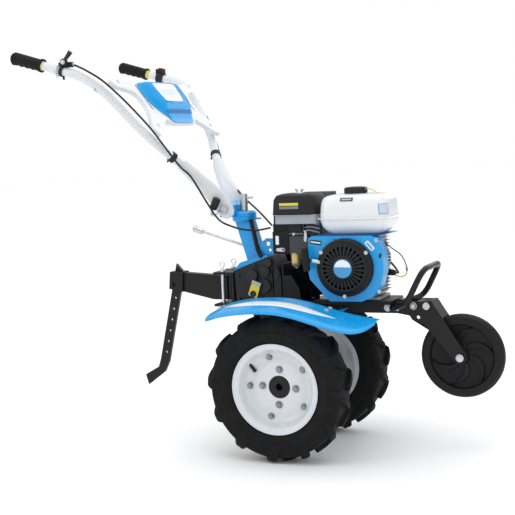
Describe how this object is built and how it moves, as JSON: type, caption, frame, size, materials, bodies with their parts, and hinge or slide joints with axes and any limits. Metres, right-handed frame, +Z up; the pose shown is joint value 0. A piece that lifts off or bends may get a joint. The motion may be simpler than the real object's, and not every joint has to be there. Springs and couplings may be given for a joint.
{
  "type": "motor cultivator",
  "caption": "Petrol walk-behind cultivator with lugged drive wheels, swinging front transport wheel, rear depth coulter on a hitch, and swivelling height-adjustable handlebars.",
  "frame": {"origin": "middle of the bounding box in plan, on the ground under the drive wheels", "axes": "+X forward towards the front transport wheel, +Y to the machine's left, +Z up"},
  "size_m": [1.4814, 0.711, 1.31],
  "materials": {
    "blue_paint": "gloss",
    "black_paint": "satin",
    "white_paint": "gloss",
    "white_tank": "gloss",
    "dark_steel": "matte",
    "black_plastic": "matte",
    "grey_plastic": "matte",
    "blue_plastic": "gloss",
    "white_plastic": "satin",
    "red_plastic": "gloss",
    "tyre_rubber": "matte",
    "grip_rubber": "matte",
    "zinc_steel": "satin",
    "cast_aluminium": "rough",
    "black_cast_iron": "satin"
  },
  "bodies": {
    "chassis": {"gear_case_right": "black_cast_iron", "gear_case_left": "black_cast_iron", "steering_column": "blue_paint", "hitch_box": "black_paint", "fender_right": "blue_paint", "fender_left": "blue_paint", "engine_frame": "black_paint", "bumper_hoop": "black_paint", "crankcase": "cast_aluminium", "cylinder_head": "cast_aluminium", "fan_shroud": "blue_paint", "starter_cover": "black_plastic", "belt_guard": "black_paint", "drive_belt": "tyre_rubber", "fuel_tank": "white_tank", "air_cleaner_tray": "grey_plastic", "air_cleaner_cover": "black_plastic", "carburettor": "cast_aluminium", "control_box": "black_plastic", "muffler": "dark_steel", "muffler_guard": "dark_steel", "throttle_cable_lower": "black_plastic", "clutch_cable_lower": "black_plastic"},
    "drive_wheels": {"drive_axle": "black_paint", "rim_right": "white_paint", "rim_left": "white_paint", "tyre_right": "tyre_rubber", "tyre_left": "tyre_rubber"},
    "front_fork": {"front_bracket": "black_paint"},
    "front_wheel": {"front_wheel": "black_plastic"},
    "engine_shaft": {"crankshaft": "zinc_steel", "flywheel_fan": "black_cast_iron"},
    "input_shaft": {"gearbox_pulley": "black_cast_iron"},
    "tensioner": {"belt_tensioner": "zinc_steel"},
    "starter_reel": {"starter_reel": "black_plastic"},
    "starter_handle": {"starter_handle": "black_plastic"},
    "fuel_cap": {"fuel_cap": "black_plastic"},
    "air_cleaner_nut": {"air_cleaner_nut": "zinc_steel"},
    "choke": {"choke_lever": "zinc_steel"},
    "throttle_arm": {"throttle_arm": "zinc_steel"},
    "shift_rod": {"shift_rod": "zinc_steel"},
    "hitch_pin_right": {"hitch_pin_right": "zinc_steel"},
    "hitch_pin_left": {"hitch_pin_left": "zinc_steel"},
    "drawbar": {"drawbar": "black_paint"},
    "depth_bar": {"depth_bar": "black_paint"},
    "swivel_head": {"swivel_head": "blue_paint"},
    "lock_pin": {"swivel_lock_pin": "zinc_steel"},
    "clamp_lever": {"clamp_lever": "zinc_steel"},
    "handlebars": {"handlebar_right": "white_paint", "handlebar_left": "white_paint", "grip_right": "grip_rubber", "grip_left": "grip_rubber", "console_carrier": "white_plastic", "console_cover": "blue_plastic", "switch_housing": "black_plastic", "throttle_clamp": "black_plastic", "throttle_cable_upper": "black_plastic", "clutch_cable_upper": "black_plastic"},
    "switch_rocker": {"switch_rocker": "red_plastic"},
    "throttle_lever": {"throttle_lever": "black_plastic"}
  },
  "joints": [
    {"name": "wheel_spin", "type": "hinge", "parent": "chassis", "child": "drive_wheels", "pos_m": [0.0807, 0, 0.2325], "axis": [0, 1, 0], "continuous": true},
    {"name": "front_fork_swing", "type": "hinge", "parent": "chassis", "child": "front_fork", "pos_m": [0.4727, 0, 0.469], "axis": [0, -1, 0], "range_deg": [0, 71]},
    {"name": "front_wheel_spin", "type": "hinge", "parent": "front_fork", "child": "front_wheel", "pos_m": [0.6117, 0, 0.312], "axis": [0, 1, 0], "continuous": true},
    {"name": "crankshaft_spin", "type": "hinge", "parent": "chassis", "child": "engine_shaft", "pos_m": [0.2847, 0, 0.596], "axis": [0, 1, 0], "continuous": true},
    {"name": "input_shaft_spin", "type": "hinge", "parent": "chassis", "child": "input_shaft", "pos_m": [-0.0163, 0, 0.528], "axis": [0, 1, 0], "continuous": true},
    {"name": "tensioner_swing", "type": "hinge", "parent": "chassis", "child": "tensioner", "pos_m": [0.0807, 0.12, 0.575], "axis": [0, 1, 0], "range_deg": [-1, 1.5]},
    {"name": "starter_pull", "type": "slide", "parent": "chassis", "child": "starter_handle", "axis": [-0.8479, -0.3491, 0.399], "range_m": [0, 0.5], "stiffness_N_per_m": 20, "springref_m": -0.2},
    {"name": "starter_reel_turn", "type": "hinge", "parent": "chassis", "child": "starter_reel", "pos_m": [0.2892, -0.14, 0.597], "axis": [0, 1, 0], "range_deg": [0, 960]},
    {"name": "fuel_cap_turn", "type": "hinge", "parent": "chassis", "child": "fuel_cap", "pos_m": [0.2967, -0.03, 0.818], "axis": [0, 0, 1], "range_deg": [0, 90]},
    {"name": "air_cleaner_nut_turn", "type": "hinge", "parent": "chassis", "child": "air_cleaner_nut", "pos_m": [0.1107, -0.036, 0.82], "axis": [0, 0, 1], "range_deg": [0, 360]},
    {"name": "choke_swing", "type": "hinge", "parent": "chassis", "child": "choke", "pos_m": [0.0667, -0.083, 0.648], "axis": [0, 1, 0], "range_deg": [-20, 25]},
    {"name": "throttle_lever_swing", "type": "hinge", "parent": "handlebars", "child": "throttle_lever", "pos_m": [-0.5343, -0.3385, 1.264], "axis": [0, -1, 0], "range_deg": [0, 60]},
    {"name": "throttle_arm_swing", "type": "hinge", "parent": "chassis", "child": "throttle_arm", "pos_m": [0.1427, -0.08, 0.678], "axis": [0, -1, 0], "range_deg": [0, 30]},
    {"name": "gear_shift", "type": "slide", "parent": "chassis", "child": "shift_rod", "axis": [0.953, 0, -0.303], "range_m": [-0.025, 0.025]},
    {"name": "hitch_pin_right_lift", "type": "slide", "parent": "chassis", "child": "hitch_pin_right", "axis": [0, 0, 1], "range_m": [0, 0.13]},
    {"name": "hitch_pin_left_lift", "type": "slide", "parent": "chassis", "child": "hitch_pin_left", "axis": [0, 0, 1], "range_m": [0, 0.075]},
    {"name": "drawbar_swing", "type": "hinge", "parent": "chassis", "child": "drawbar", "pos_m": [-0.1513, 0, 0.517], "axis": [0, 0, 1], "range_deg": [-10, 10]},
    {"name": "coulter_depth", "type": "slide", "parent": "drawbar", "child": "depth_bar", "axis": [0.2365, 0, 0.9716], "range_m": [-0.0385, 0.077]},
    {"name": "steering_swivel", "type": "hinge", "parent": "chassis", "child": "swivel_head", "pos_m": [-0.1003, 0, 0.7515], "axis": [0, 0, 1], "range_deg": [-30, 30]},
    {"name": "lock_pin_lift", "type": "slide", "parent": "swivel_head", "child": "lock_pin", "axis": [0, 0, 1], "range_m": [0, 0.015]},
    {"name": "clamp_lever_turn", "type": "hinge", "parent": "swivel_head", "child": "clamp_lever", "pos_m": [-0.1403, -0.07, 0.778], "axis": [0, 1, 0], "range_deg": [-60, 30]},
    {"name": "handlebar_height", "type": "hinge", "parent": "swivel_head", "child": "handlebars", "pos_m": [-0.1403, 0, 0.778], "axis": [0, 1, 0], "range_deg": [-20, 20]},
    {"name": "stop_switch", "type": "hinge", "parent": "handlebars", "child": "switch_rocker", "pos_m": [-0.56313, 0.334, 1.27246], "axis": [0, 1, 0], "range_deg": [-10, 10]}
  ],
  "couplings": [
    {"joint": "starter_reel_turn", "follows": "starter_pull", "rad_per_m": 32},
    {"joint": "throttle_arm_swing", "follows": "throttle_lever_swing", "ratio": 0.5}
  ]
}
